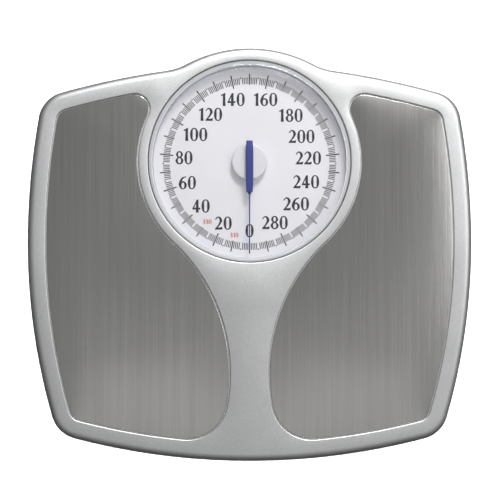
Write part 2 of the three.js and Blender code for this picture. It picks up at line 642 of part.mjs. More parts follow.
// The bridge over the levers that carries the dial tray, the pinion's bush and the rack.
function mechanismFrame() {
  const [inner, outer, flange] = [FRAME_X, FRAME_X + FRAME_T, FRAME_X + FRAME_T + 10];
  const [base, sole, deckTop] = [BRACKET_Z, BRACKET_Z + FRAME_T, FRAME_Z + FRAME_T];
  const bridge = alongY([
    [inner, base], [flange, base], [flange, sole], [outer, sole], [outer, deckTop], [-outer, deckTop],
    [-outer, sole], [-flange, sole], [-flange, base], [-inner, base], [-inner, FRAME_Z], [inner, FRAME_Z],
  ], ...FRAME_Y);
  const slot = block([CRANK_X - 2, CRANK_X + 2], [CRANK_Y - 11, CRANK_Y + 11], [FRAME_Z - 1, deckTop + 1]);
  const bushHole = rod(3.3, FRAME_Z - 1, deckTop + 1).translate(0, DIAL_Y, 0);
  const tabs = SIDES.flatMap(([, side]) => [62, 104].map((y) => (
    block([side * 50 - 0.75, side * 50 + 0.75], [y, y + 6], [deckTop - 0.5, TRAY_Z - GAP]))));
  const springPost = block([-19, -15], [59, 60.5], [deckTop - 0.5, RACK_Z + 2]);
  return join(cut(bridge, slot, bushHole), ...tabs, springPost);
}

const TOOTH = 0.55; // width at the pitch line, thin enough to run freely
const PITCH = Math.PI * MODULE;
const RACK_ROOT_X = -PITCH_R - 1.2 * MODULE;
const RACK_BACK_X = -10.8;
const SLOT_Y = CRANK_Y - RACK_TRAVEL / 2; // the finger's place at no load

function rack() {
  const [front, back] = [57, SLOT_Y + 5.5];
  const teeth = [];
  const [root, tip] = [RACK_ROOT_X, RACK_ROOT_X + 1.02];
  for (let k = -13; k <= 2; k += 1) {
    const y = DIAL_Y + k * PITCH;
    const [wide, narrow] = [0.8 * TOOTH, 0.25 * TOOTH];
    teeth.push([root, y - wide], [tip, y - narrow], [tip, y + narrow], [root, y + wide]);
  }
  const tab = [[-20, back], [-20, back - 3], [RACK_BACK_X, back - 3]];
  const bar = slab([
    [RACK_BACK_X, front], [root, front], ...teeth, [root, back], ...tab,
  ], RACK_Z - RACK_T / 2, RACK_Z + RACK_T / 2);
  const slot = block([CRANK_X - 1.5, CRANK_X + 1.5], [SLOT_Y - 2.2, SLOT_Y + 2.2], [RACK_Z - 2, RACK_Z + 2]);
  return cut(bar, slot);
}

// A channel that backs the rack against the pinion.
function rackGuide() {
  const [outer, back, lip] = [-13, RACK_BACK_X - 0.4, -7.6];
  const [base, low, high] = [FRAME_Z + FRAME_T + GAP, RACK_Z - RACK_T / 2 - GAP, RACK_Z + RACK_T / 2 + GAP];
  return alongY([
    [outer, base], [lip, base], [lip, low], [back, low], [back, high], [lip, high], [lip, high + 1.2],
    [outer, high + 1.2],
  ], DIAL_Y - 5, DIAL_Y + 5);
}

// The pinion is cut on its own shaft. A gap faces the rack at no load.
function pinionShaft() {
  const step = 2 * Math.PI / TEETH;
  const [root, tip] = [PITCH_R - 1.2 * MODULE, PITCH_R + 0.9 * MODULE];
  const teeth = Array.from({ length: TEETH }, (_, k) => {
    const middle = Math.PI + (k + 0.5) * step;
    return [[root, -0.19], [tip, -0.045], [tip, 0.045], [root, 0.19]]
      .map(([r, a]) => [r * Math.cos(middle + a), r * Math.sin(middle + a)]);
  });
  const shaft = rod(SHAFT_R, FRAME_Z - 0.5, BAR_Z[1] - 0.4, 12);
  return join(slab(teeth.flat(), RACK_Z - 1.4, RACK_Z + 1.8), shaft);
}

// A stepped bush in the deck, on which the shaft turns.
function pinionBush() {
  const [bore, barrel, collar] = [SHAFT_R + GAP, 3, 4.4];
  const [low, seat, high] = [FRAME_Z - GAP, FRAME_Z + FRAME_T + GAP, 36.2];
  return turned([
    [bore, low], [barrel, low], [barrel, seat], [collar, seat], [collar, high], [bore, high], [bore, low],
  ]);
}

place('crank_bracket', crankBracket(), ZINC_PLATE, [CRANK_X, CRANK_Y, 0]);
place('crank_pin', rod(PIN_R, -4.5, 4.5, 12).rotateY(Math.PI / 2), SPRING_STEEL, [CRANK_X, CRANK_Y, CRANK_Z]);
place('bell_crank', bellCrank(), ZINC_PLATE, [CRANK_X, CRANK_Y, CRANK_Z], [CRANK_SWING / 2, 0, 0]);
place('mechanism_frame', mechanismFrame(), ZINC_PLATE);
place('pinion_bush', pinionBush(), BRASS, [0, DIAL_Y, 0]);
place('rack_guide', rackGuide(), BLACK_PLASTIC);
place('rack', rack(), BRASS);
const rackSpringY = [60.5 + GAP, SLOT_Y + 2.5 - GAP];
const rackSpring = coil({
  radius: 2, turns: 10, length: rackSpringY[1] - rackSpringY[0], wire: 0.8, stepsPerTurn: 6, sides: 4,
});
place('rack_spring', rackSpring, SPRING_STEEL, [-17, rackSpringY[0], RACK_Z], [-Math.PI / 2, 0, 0]);
place('pinion_shaft', pinionShaft(), BRASS, [0, DIAL_Y, 0]);

// ---- Dial and pointer ----

const SHAFT_HOLE_R = 2; // in the tray and in the dial face

function dialTray() {
  const [hole, inner, outer, corner] = [SHAFT_HOLE_R, TRAY_R - TRAY_T, TRAY_R, 1.5];
  const [low, floor, rim] = [TRAY_Z, TRAY_Z + TRAY_T, TRAY_RIM_Z];
  return turned([
    [hole, low], [outer - corner, low], [outer, low + corner], [outer, rim], [inner, rim], [inner, floor],
    [hole, floor], [hole, low],
  ], LENS_SIDES);
}

function dialFace() {
  const [hole, low, high] = [SHAFT_HOLE_R, FACE_Z, FACE_Z + FACE_T];
  return turned([[hole, low], [FACE_R, low], [FACE_R, high], [hole, high], [hole, low]], LENS_SIDES);
}

function pointerHub() {
  const [low, high] = HUB_Z;
  const [bore, edge] = [SHAFT_R + GAP, 1.2];
  return turned([
    [bore, low], [HUB_R, low], [HUB_R, high - edge], [HUB_R - edge, high], [bore, high], [bore, low],
  ], 36);
}

// A thick bar over the hub that tapers into a fine needle towards the front.
function pointerNeedle() {
  const head = -26.5;
  const both = (edge) => [...edge, ...mirrored(edge)]; // an edge on the left and its mirror image
  const bar = slab(both([[-2.85, 19.6], [-3.3, 10], [-3.3, -16], [-2.85, head]]), ...BAR_Z);
  const needle = slab(both([[-2.3, head + 1], [-0.6, head - 2.5], [-0.45, -NEEDLE_REACH]]),
    BAR_Z[0], BAR_Z[0] + NEEDLE_T);
  return cut(join(bar, needle), rod(SHAFT_R + GAP, BAR_Z[0] - 1, BAR_Z[1] + 1, 12));
}

place('dial_tray', dialTray(), WHITE_ENAMEL, [0, DIAL_Y, 0]);
place('dial_face', dialFace(), WHITE_ENAMEL, [0, DIAL_Y, 0]);
place('pointer_hub', pointerHub(), WHITE_PLASTIC, [0, DIAL_Y, 0]);
place('pointer_needle', pointerNeedle(), BLUE_PAINT, [0, DIAL_Y, 0]);

export default scale;
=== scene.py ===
import json
import math

import bmesh
import bpy
from mathutils import Matrix, Vector


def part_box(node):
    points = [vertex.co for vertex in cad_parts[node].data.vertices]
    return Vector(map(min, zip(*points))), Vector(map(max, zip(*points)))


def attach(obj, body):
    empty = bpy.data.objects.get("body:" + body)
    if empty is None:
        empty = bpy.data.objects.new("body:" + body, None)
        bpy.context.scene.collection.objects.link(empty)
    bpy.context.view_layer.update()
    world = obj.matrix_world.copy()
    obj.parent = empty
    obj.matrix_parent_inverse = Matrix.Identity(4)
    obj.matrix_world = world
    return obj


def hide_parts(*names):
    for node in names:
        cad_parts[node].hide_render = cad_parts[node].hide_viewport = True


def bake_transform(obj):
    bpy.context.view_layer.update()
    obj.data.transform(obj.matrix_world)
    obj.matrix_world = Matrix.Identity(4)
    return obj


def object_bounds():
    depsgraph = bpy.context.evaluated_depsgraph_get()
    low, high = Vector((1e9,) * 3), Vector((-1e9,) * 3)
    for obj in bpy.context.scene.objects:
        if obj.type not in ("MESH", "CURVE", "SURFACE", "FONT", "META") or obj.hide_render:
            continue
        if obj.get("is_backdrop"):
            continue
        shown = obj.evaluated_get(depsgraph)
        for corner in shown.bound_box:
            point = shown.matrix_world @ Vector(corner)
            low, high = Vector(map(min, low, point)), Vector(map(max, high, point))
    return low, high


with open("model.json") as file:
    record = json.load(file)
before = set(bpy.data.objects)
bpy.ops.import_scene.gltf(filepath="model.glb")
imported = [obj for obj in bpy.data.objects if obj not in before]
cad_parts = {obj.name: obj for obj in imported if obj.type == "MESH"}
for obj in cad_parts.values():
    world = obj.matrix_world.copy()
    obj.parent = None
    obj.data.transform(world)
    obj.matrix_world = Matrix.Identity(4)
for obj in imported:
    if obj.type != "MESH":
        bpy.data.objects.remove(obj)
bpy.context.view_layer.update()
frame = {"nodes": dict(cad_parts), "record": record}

# ---- Camera, floor and light ----
# The scale is seen from just in front of straight above, on a plain white table. A key lamp behind
# its right shoulder gives the short shadows on the dial, and broad panels overhead, in front and at
# the right fill the rest.

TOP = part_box("platform_cover")[1].z
camera_spot = Vector((0.0004, -0.0355, TOP + 1.0))
aim = Vector((0.0004, 0.0026, TOP))
camera = bpy.data.objects.new("camera", bpy.data.cameras.new("camera"))
camera.data.sensor_width = 36
camera.data.lens = 81.6
camera.location = camera_spot
camera.rotation_euler = (aim - camera_spot).to_track_quat("-Z", "Y").to_euler()
bpy.context.scene.collection.objects.link(camera)
bpy.context.scene.camera = camera
bpy.context.scene.view_settings.view_transform = "Standard"


def lamp(name, place, target, width, height, power, colour=(1, 1, 1)):
    """A rectangular panel lamp that faces its target."""
    data = bpy.data.lights.new(name, "AREA")
    data.shape = "RECTANGLE"
    data.size = width
    data.size_y = height
    data.energy = power
    data.color = colour
    lit = bpy.data.objects.new(name, data)
    lit.location = place
    lit.rotation_euler = (Vector(target) - Vector(place)).to_track_quat("-Z", "Y").to_euler()
    bpy.context.scene.collection.objects.link(lit)
    return lit


lamp("key_lamp", (0.28, 1.06, 0.93), (0, 0.06, 0.05), 0.35, 0.3, 11.5, (1, 0.99, 0.98))
lamp("front_panel", (0, -0.75, 1.9), (0, 0, 0), 1.8, 0.9, 1.1, (1, 0.99, 0.97))
lamp("middle_panel", (0, -0.4, 2.0), (0, 0, 0), 1.8, 1.1, 0.65, (1, 0.99, 0.97))
lamp("right_panel", (1.3, 0.3, 1.2), (0, 0, 0), 0.7, 0.9, 7)
# The sheen lamp adds only to what is mirrored, and the ceiling only to what is scattered.
sheen = lamp("rear_sheen", (0.25, 1.15, 1.0), (0, 0, 0), 0.9, 0.4, 22)
sheen.visible_diffuse = False
ceiling = lamp("ceiling_panel", (0, 0, 2.4), (0, 0, 0), 3, 3, 22)
ceiling.visible_glossy = False


class Wire:
    """One socket of a material's node tree. Arithmetic on wires and numbers adds Math nodes."""

    def __init__(self, socket):
        self.socket = socket

    def node(self, kind, settings, inputs, out=0):
        """A new node in the same tree: its settings first, then values or wires for its sockets."""
        tree = self.socket.id_data
        made = tree.nodes.new(kind)
        for name, value in settings.items():
            setattr(made, name, value)
        for key, value in inputs.items():
            if isinstance(value, Wire):
                tree.links.new(value.socket, made.inputs[key])
            else:
                made.inputs[key].default_value = value
        return Wire(made.outputs[out])

    def maths(self, operation, first, second=0.0):
        return self.node("ShaderNodeMath", {"operation": operation}, {0: first, 1: second})

    def __add__(self, other):
        return self.maths("ADD", self, other)

    def __sub__(self, other):
        return self.maths("SUBTRACT", self, other)

    def __rsub__(self, other):
        return self.maths("SUBTRACT", other, self)

    def __mul__(self, other):
        return self.maths("MULTIPLY", self, other)

    __radd__ = __add__
    __rmul__ = __mul__

    def part(self, axis):
        """One coordinate of a vector."""
        return self.node("ShaderNodeSeparateXYZ", {}, {0: self}, "XYZ"[axis])

    def stretched(self, scale):
        """The same place with each axis scaled, for a pattern that is longer one way."""
        return self.node("ShaderNodeMapping", {}, {"Vector": self, "Scale": scale})

    def noise(self, scale, detail=2.0, roughness=0.5):
        """Cloudy noise about 0.5, finer with scale, which counts clouds in a metre."""
        sizes = {"Vector": self, "Scale": scale, "Detail": detail, "Roughness": roughness}
        return self.node("ShaderNodeTexNoise", {}, sizes, "Fac")

    def step(self, low, high):
        """0 below low and 1 above high, smooth between."""
        span = {"Value": self, "From Min": low, "From Max": high}
        return self.node("ShaderNodeMapRange", {"interpolation_type": "SMOOTHSTEP"}, span)

    def tint(self, first, second):
        """From the first colour at 0 to the second at 1."""
        ends = {0: self, 6: (*first, 1), 7: (*second, 1)}
        return self.node("ShaderNodeMix", {"data_type": "RGBA"}, ends, 2)

    def bump(self, depth, strength):
        """This height, from 0 to 1, as a relief of that depth in metres."""
        return self.node("ShaderNodeBump", {}, {"Height": self, "Distance": depth, "Strength": strength})


def material(name, **constants):
    """A material of one Principled shader with constants on its own sockets, and where it lies."""
    made = bpy.data.materials.new(name)
    made.use_nodes = True
    shader = made.node_tree.nodes["Principled BSDF"]
    for key, value in constants.items():
        shader.inputs[key.replace("_", " ").title().replace("Ior", "IOR")].default_value = value
    return made, Wire(made.node_tree.nodes.new("ShaderNodeTexCoord").outputs["Object"])


def feed(made, **wires):
    """Leads wires into sockets of a material's Principled shader."""
    shader = made.node_tree.nodes["Principled BSDF"]
    for key, wire in wires.items():
        made.node_tree.links.new(wire.socket, shader.inputs[key.replace("_", " ").title()])


# The room is darker round the walls than overhead, which gives the rounded edges their dark outline.
WALL_LIGHT, OVERHEAD_LIGHT = 0.03, 0.24
world = bpy.data.worlds.new("studio")
world.use_nodes = True
bpy.context.scene.world = world
background = world.node_tree.nodes["Background"]
upward = Wire(world.node_tree.nodes.new("ShaderNodeTexCoord").outputs["Generated"]).part(2)
strength = WALL_LIGHT + (OVERHEAD_LIGHT - WALL_LIGHT) * upward.step(0.15, 0.7)
world.node_tree.links.new(strength.socket, background.inputs["Strength"])
background.inputs["Color"].default_value = (0.98, 0.985, 1, 1)

table_white, spot = material("table_white", roughness=0.75)
feed(table_white, base_color=spot.noise(40).tint((0.93, 0.93, 0.93), (0.95, 0.95, 0.95)))
bm = bmesh.new()
bmesh.ops.create_grid(bm, x_segments=8, y_segments=8, size=4)
floor_mesh = bpy.data.meshes.new("floor")
bm.to_mesh(floor_mesh)
bm.free()
floor_mesh.materials.append(table_white)
floor = bpy.data.objects.new("floor", floor_mesh)
bpy.context.scene.collection.objects.link(floor)
floor.visible_glossy = False
floor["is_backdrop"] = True
# A lamp that lights the table alone keeps it white to the edge of the scale, with no cast shadow.
table_only = bpy.data.collections.new("table_only")
table_only.objects.link(floor)
wash = lamp("table_wash", (0, 0, 2.2), (0, 0, 0), 3, 3, 130)
wash.light_linking.receiver_collection = table_only
wash.light_linking.blocker_collection = table_only

# ---- Base pan ----
# One steel pressing, 1 mm thick, painted silver. Its wall stands inside the cover's skirt, a bead
# stiffens its floor, and a slot in the rear wall lets the zero wheel through.

MM = 0.001
SHEET = 1 * MM


def touching(first, second, radius, side):
    """The arc of signed radius that touches two others; side picks one of its two places."""
    (ax, ay, ar), (bx, by, br) = first, second
    reach_a, reach_b = abs(ar - radius), abs(br - radius)
    dx, dy = bx - ax, by - ay
    gap = math.hypot(dx, dy)
    along = (gap * gap + reach_a * reach_a - reach_b * reach_b) / (2 * gap)
    off = side * math.sqrt(reach_a * reach_a - along * along)
    return ax + (along * dx - off * dy) / gap, ay + (along * dy + off * dx) / gap, radius


OUTLINE_STEP = 3 * MM


def outline(arcs, grow):
    """Points round a ring of tangent arcs (x, y, radius), walked anticlockwise and grown sideways.
    A negative radius bends inwards, so growing the outline adds to every radius."""
    points = []
    for before, (x, y, radius), after in zip(arcs[-1:] + arcs[:-1], arcs, arcs[1:] + arcs[:1]):
        meets = []
        for (ax, ay, ar), (bx, by, br) in ((before, (x, y, radius)), ((x, y, radius), after)):
            meets.append(math.atan2((by - ay) / (ar - br), (bx - ax) / (ar - br)))
        sweep = (meets[1] - meets[0]) % (2 * math.pi)
        if radius < 0:
            sweep -= 2 * math.pi
        steps = max(4, 2 * round(abs(sweep * radius) / OUTLINE_STEP / 2))
        for k in range(steps):
            angle = meets[0] + sweep * k / steps
            points.append((x + (radius + grow) * math.cos(angle), y + (radius + grow) * math.sin(angle)))
    return points


def mirrored(arcs):
    """The same arcs on the other side of the scale, still walked anticlockwise."""
    return [(-x, y, radius) for x, y, radius in reversed(arcs)]


(_, front_y, _), (right, rear_y, _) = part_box("platform_cover")
FRONT_RADIUS, SIDE_LOW_RADIUS, SIDE_HIGH_RADIUS, DOME_RADIUS = 0.615, 0.556, 0.656, 0.120
CORNER_RADIUS, NECK_RADIUS = 0.028, 0.055
WIDEST_Y = 0.013
FRONT = (0, front_y + FRONT_RADIUS, FRONT_RADIUS)
SIDE_LOW = (right - SIDE_LOW_RADIUS, WIDEST_Y, SIDE_LOW_RADIUS)
SIDE_HIGH = (right - SIDE_HIGH_RADIUS, WIDEST_Y, SIDE_HIGH_RADIUS)
SHOULDER = (-0.0222, -0.530, 0.700)
DOME = (0, rear_y - DOME_RADIUS, DOME_RADIUS)
FRONT_CORNER = touching(SIDE_LOW, FRONT, CORNER_RADIUS, -1)
REAR_CORNER = touching(SHOULDER, SIDE_HIGH, CORNER_RADIUS, -1)
NECK = touching(DOME, SHOULDER, -NECK_RADIUS, 1)
RIGHT_SIDE = [FRONT_CORNER, SIDE_LOW, SIDE_HIGH, REAR_CORNER, SHOULDER, NECK]
BODY = [FRONT, *RIGHT_SIDE, DOME, *mirrored(RIGHT_SIDE)]


def loop(bm, points, z):
    """A closed loop of edges at height z."""
    corners = [bm.verts.new((x, y, z)) for x, y in points]
    return [bm.edges.new(pair) for pair in zip(corners, corners[1:] + corners[:1])]


def skin(bm, loops):
    """Smooth bands of faces from each loop to the next."""
    for low, high in zip(loops, loops[1:]):
        for face in bmesh.ops.bridge_loops(bm, edges=low + high)["faces"]:
            face.smooth = True


def flat(bm, *loops):
    """A flat sheet inside the first loop, with the others as holes in it."""
    bmesh.ops.triangle_fill(bm, use_beauty=True, edges=[edge for ring in loops for edge in ring])


def rounding(grow, z, side, drop, steps=6):
    """[grow, z] levels round a corner, from a wall at grow to a flat at z. A negative side rounds
    the lip of a hole, and a negative drop rounds the underside."""
    turns = [math.pi / 2 * k / steps for k in range(steps + 1)]
    return [(grow - side * (1 - math.cos(a)), z - drop * (1 - math.sin(a))) for a in turns]


def piece(name, bm, finish, body, slot, *nodes, sharp=35):
    """Turns a finished bmesh into a piece that rides on a body, if any, and stands for CAD nodes."""
    mesh = bpy.data.meshes.new(name)
    bm.to_mesh(mesh)
    bm.free()
    mesh.set_sharp_from_angle(angle=math.radians(sharp))
    mesh.materials.append(finish)
    made = bpy.data.objects.new(name, mesh)
    bpy.context.scene.collection.objects.link(made)
    if body:
        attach(made, body)
    if nodes:
        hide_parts(*nodes)
    return made


def walled(sheet, thickness):
    """Gives a pressed sheet its thickness, inwards from the outer skin."""
    wall = sheet.modifiers.new("thickness", "SOLIDIFY")
    wall.thickness = thickness
    wall.offset = -1


def silver_paint(name, bright, dark):
    """Satin metallic paint: fine flakes, a faint orange peel and a little handling dullness."""
    made, spot = material(name, metallic=0.93, coat_weight=0.08, coat_roughness=0.3)
    flakes = spot.noise(900, 1)
    cloud = spot.noise(14, 3)
    feed(made, base_color=(0.65 * flakes + 0.35 * cloud).step(0.3, 0.7).tint(dark, bright),
         roughness=0.41 + 0.08 * cloud + 0.06 * flakes,
         normal=(spot.noise(700, 2) * 0.6 + flakes * 0.4).bump(0.03 * MM, 0.5))
    return made


pan_low, pan_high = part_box("base_pan")
PAN_INSET = 4.6 * MM
PAN_CORNER = 5 * MM
SLOT_LOW, SLOT_HIGH = 7.8 * MM, 13.4 * MM
SLOT_REACH = 13 * MM
BEAD = [(27, 0), (26.2, 0.3), (25, 0.7), (23.5, 0.7), (22.3, 0.3), (21.5, 0)]  # inwards and down, mm
PAN_SILVERS = (0.5, 0.505, 0.51), (0.42, 0.425, 0.43)
bm = bmesh.new()
levels = [(-inward * MM, pan_low.z - drop * MM) for inward, drop in BEAD]
levels += reversed(rounding(-PAN_INSET, pan_low.z, PAN_CORNER, -PAN_CORNER))
levels += [(-PAN_INSET, SLOT_HIGH), (-PAN_INSET, pan_high.z)]
rings = [loop(bm, outline(BODY, grow), z) for grow, z in levels]
skin(bm, rings)
flat(bm, rings[0])
bmesh.ops.recalc_face_normals(bm, faces=bm.faces)
middles = [(face, face.calc_center_median()) for face in bm.faces]
slot_faces = [face for face, middle in middles
              if abs(middle.x) < SLOT_REACH and middle.y > 0 and SLOT_LOW < middle.z < SLOT_HIGH]
bmesh.ops.delete(bm, geom=slot_faces, context="FACES")
pan_finish = silver_paint("pan_silver", *PAN_SILVERS)
pan = piece("pressed_pan", bm, pan_finish, "base", "silver_paint", "base_pan")
walled(pan, SHEET)


# Tabs folded up from the pan's floor hold the four tie springs.
TAB_THICKNESS, TAB_BREADTH, TAB_EDGE = 1.6 * MM, 8 * MM, 0.3 * MM
TAB_GAP = 0.3 * MM


def tab(bm, x, y, low, high):
    """An upright tab with its edges rounded a little."""
    size = Matrix.Diagonal((TAB_THICKNESS, TAB_BREADTH, high - low, 1))
    place = Matrix.Translation((x, y, (high + low) / 2))
    made = bmesh.ops.create_cube(bm, size=1, matrix=place @ size)
    edges = list({edge for vert in made["verts"] for edge in vert.link_edges})
    bmesh.ops.bevel(bm, geom=edges, offset=TAB_EDGE, affect="EDGES", segments=2, profile=0.5, material=-1)


tie_springs = [name for name in frame["nodes"] if name.startswith("tie_spring")]
bm = bmesh.new()
for name in tie_springs:
    low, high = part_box(name)
    tab(bm, (low.x + high.x) / 2, (low.y + high.y) / 2, pan_low.z + SHEET, low.z - TAB_GAP)
piece("pan_tabs", bm, pan_finish, "base", "silver_paint")

# ---- Feet ----
# Four push-in feet of black rubber. The pad stands under the pan, its neck passes a hole and a
# bulb inside holds it. Rings moulded in the underside keep it from sliding.


def turned(bm, profile, centre, steps):
    """Spins a profile of (radius, z) points about a vertical axis through centre."""
    verts = [bm.verts.new((centre[0] + r, centre[1], centre[2] + z)) for r, z in profile]
    edges = [bm.edges.new(pair) for pair in zip(verts, verts[1:])]
    bmesh.ops.spin(bm, geom=verts + edges, cent=centre, axis=(0, 0, 1), angle=2 * math.pi, steps=steps,
                   use_merge=True, use_duplicate=False)
    bmesh.ops.remove_doubles(bm, verts=bm.verts, dist=1e-6)
    bmesh.ops.recalc_face_normals(bm, faces=bm.faces)
    for face in bm.faces:
        face.smooth = True


def eased(points, radius, steps=4):
    """A profile with each inner corner rounded by a short curve."""
    made = [points[0]]
    for before, corner, after in zip(points, points[1:], points[2:]):
        start, middle, end = Vector(before), Vector(corner), Vector(after)
        lead = min(radius, (start - middle).length * 0.45)
        trail = min(radius, (end - middle).length * 0.45)
        first = middle + (start - middle).normalized() * lead
        last = middle + (end - middle).normalized() * trail
        for k in range(steps + 1):
            t = k / steps
            made.append(tuple(first * (1 - t) ** 2 + middle * 2 * t * (1 - t) + last * t * t))
    return made + [points[-1]]


rubber, spot = material("foot_rubber", specular_ior_level=0.3)
dust = spot.noise(260, 4, 0.6)
feed(rubber, base_color=dust.step(0.35, 0.8).tint((0.012, 0.012, 0.013), (0.04, 0.039, 0.038)),
     roughness=0.7 + 0.2 * dust, normal=spot.noise(1800, 2).bump(0.05 * MM, 0.5))
# The profile's radius and height in mm: two rings underneath, the pad, its neck and the bulb.
FOOT = [(0, 0.6), (2.6, 0.6), (3, 0), (4.6, 0), (5, 0.6), (6.4, 0.6), (6.8, 0), (10, 0), (11, 1), (11, 4),
        (10.2, 5.2), (3.6, 5.2), (3.6, 6.8), (5.5, 6.8), (3, 9.8), (0, 9.8)]
FOOT_EASE = 0.4 * MM
foot_profile = eased([(r * MM, z * MM) for r, z in FOOT], FOOT_EASE)
for node in [name for name in frame["nodes"] if name.startswith("foot_")]:
    low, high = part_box(node)
    bm = bmesh.new()
    turned(bm, foot_profile, ((low.x + high.x) / 2, (low.y + high.y) / 2, low.z), 48)
    piece(node.replace("foot", "rubber_foot"), bm, rubber, "base", "foot_rubber", node, sharp=50)

# ---- Brackets, levers and knife edges ----
# Pressed and folded steel, zinc plated: the brackets stand on the pan, the levers rock on them by
# hardened knife edges, and shackles and rails carry the platform on the levers.


def plated(name, bright, dark, roughness):
    """Bare or plated metal: cloudy tone, fine rolling lines and a little wear."""
    made, spot = material(name, metallic=1.0)
    cloud = spot.noise(60, 4, 0.6)
    lines = spot.stretched((2600, 60, 2600)).noise(1, 2)
    feed(made, base_color=(0.7 * cloud + 0.3 * lines).step(0.3, 0.7).tint(dark, bright),
         roughness=roughness - 0.1 + 0.2 * cloud, normal=lines.bump(0.02 * MM, 0.4))
    return made


def finished(name, finish):
    """Gives its finish to a CAD node that is shown as it is."""
    shown = frame["nodes"][name].data.materials
    shown.clear()
    shown.append(finish)


zinc = plated("zinc_plate", (0.72, 0.73, 0.74), (0.5, 0.51, 0.53), 0.34)
knife_steel = plated("knife_steel", (0.34, 0.34, 0.35), (0.2, 0.2, 0.21), 0.3)
for body in ("base", "platform", "spring_plate", "crank", "hanger", "long_lever_left", "long_lever_right",
             "short_lever_left", "short_lever_right"):
    for name in frame["record"]["behaviour"]["bodies"][body]:
        finished(name, knife_steel if "knife" in name or "pin" in name else zinc)

# ---- Springs ----
# Coils of oiled spring steel wire: one stout main spring that the levers' plate hangs on, four thin
# ones that tie the platform down, and a light one that draws the rack home.

COIL_SIDES, COIL_STEPS = 10, 28  # round the wire, and in each turn
spring_steel = plated("spring_steel", (0.3, 0.3, 0.32), (0.14, 0.14, 0.155), 0.32)


def coil(name, wire, turns, along, slack):
    """A round wire wound about one axis of a CAD node's box, short of its high end by the slack."""
    low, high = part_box(name)
    high[along] -= slack
    centre = (low + high) / 2
    across = 2 if along != 2 else 0
    radius = (high[across] - low[across]) / 2 - wire / 2
    length = high[along] - low[along] - wire
    bm = bmesh.new()
    upright = Matrix.Rotation(math.pi / 2, 4, "X")
    bmesh.ops.create_circle(bm, segments=COIL_SIDES, radius=wire / 2, matrix=upright)
    bmesh.ops.translate(bm, verts=bm.verts, vec=(radius, 0, 0))
    count = turns * COIL_STEPS
    bmesh.ops.spin(bm, geom=bm.verts[:] + bm.edges[:], cent=(0, 0, 0), axis=(0, 0, 1),
                   angle=turns * 2 * math.pi, dvec=(0, 0, length / count), steps=count, use_merge=False,
                   use_duplicate=False)
    bmesh.ops.holes_fill(bm, edges=[edge for edge in bm.edges if edge.is_boundary], sides=COIL_SIDES)
    bmesh.ops.recalc_face_normals(bm, faces=bm.faces)
    for face in bm.faces:
        face.smooth = True
    start = Matrix.Translation((0, 0, -length / 2))
    lay = Matrix.Rotation(-math.pi / 2, 4, "X") if along == 1 else Matrix.Identity(4)
    bmesh.ops.transform(bm, matrix=Matrix.Translation(centre) @ lay @ start, verts=bm.verts)
    return bm


# Each coil's node, wire, turns, axis, slack, and the bodies that hold its low and its high end. The
# main one leaves room for the arm above it, which the zero wheel lowers by 1.5 mm.
for node, wire, turns, along, slack, held_low, held_high in [
        ("main_spring", 2 * MM, 4, 2, 1.5 * MM, "spring_plate", "base"),
        ("rack_spring", 0.8 * MM, 10, 1, 0, "base", "rack"),
        *[(name, 1.2 * MM, 9, 2, 0, "base", "platform") for name in tie_springs]]:
    coiled = piece(node.replace("spring", "coil"), coil(node, wire, turns, along, slack), spring_steel,
                   None, "spring_steel", node, sharp=60)
    low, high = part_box(node)
    far_end = (low.x, high.y, high.z) if along == 2 else (low.x, high.y, low.z)
    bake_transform(coiled)

# ---- Zero wheel and its screw ----
# A black moulded wheel with a knurled rim on a brass screw. Turned by a fingertip at the rear, it
# raises or lowers the arm that the main spring hangs from.

black_plastic, spot = material("black_plastic")
grain = spot.noise(1200, 2)
feed(black_plastic, base_color=spot.noise(90, 3).tint((0.011, 0.011, 0.012), (0.022, 0.022, 0.023)),
     roughness=0.36 + 0.14 * grain, normal=grain.bump(0.03 * MM, 0.6))
KNURLS, KNURL_DEPTH, KNURLED_RIM = 40, 0.75 * MM, 1.2 * MM
WHEEL_BORE, WHEEL_CLEARANCE = 2.5 * MM, 0.2 * MM
DISH_DEPTH = 0.7 * MM
wheel_low, wheel_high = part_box("zero_wheel")
wheel_centre = (wheel_low + wheel_high) / 2
wheel_radius = (wheel_high.x - wheel_low.x) / 2
half = (wheel_high.z - wheel_low.z) / 2
# The wheel's lower side: hub, dished web and rim, as radius and height. Its upper side is the same.
under = [(WHEEL_BORE, -half), (6 * MM, -half), (6.6 * MM, DISH_DEPTH - half),
         (13.4 * MM, DISH_DEPTH - half), (14 * MM, -half), (wheel_radius - WHEEL_CLEARANCE, -half)]
wheel = [*under, *((r, -z) for r, z in reversed(under)), under[0]]
bm = bmesh.new()
turned(bm, eased(wheel, 0.4 * MM), wheel_centre, KNURLS * 4)
for vert in bm.verts:
    out = (vert.co - wheel_centre).xy
    groove = 0.5 - 0.5 * math.cos(math.atan2(out.y, out.x) * KNURLS)
    if out.length > wheel_radius - KNURLED_RIM:
        vert.co.xy = wheel_centre.xy + out * (1 - KNURL_DEPTH * groove / out.length)
piece("knurled_wheel", bm, black_plastic, "zero_adjuster", "black_plastic", "zero_wheel")

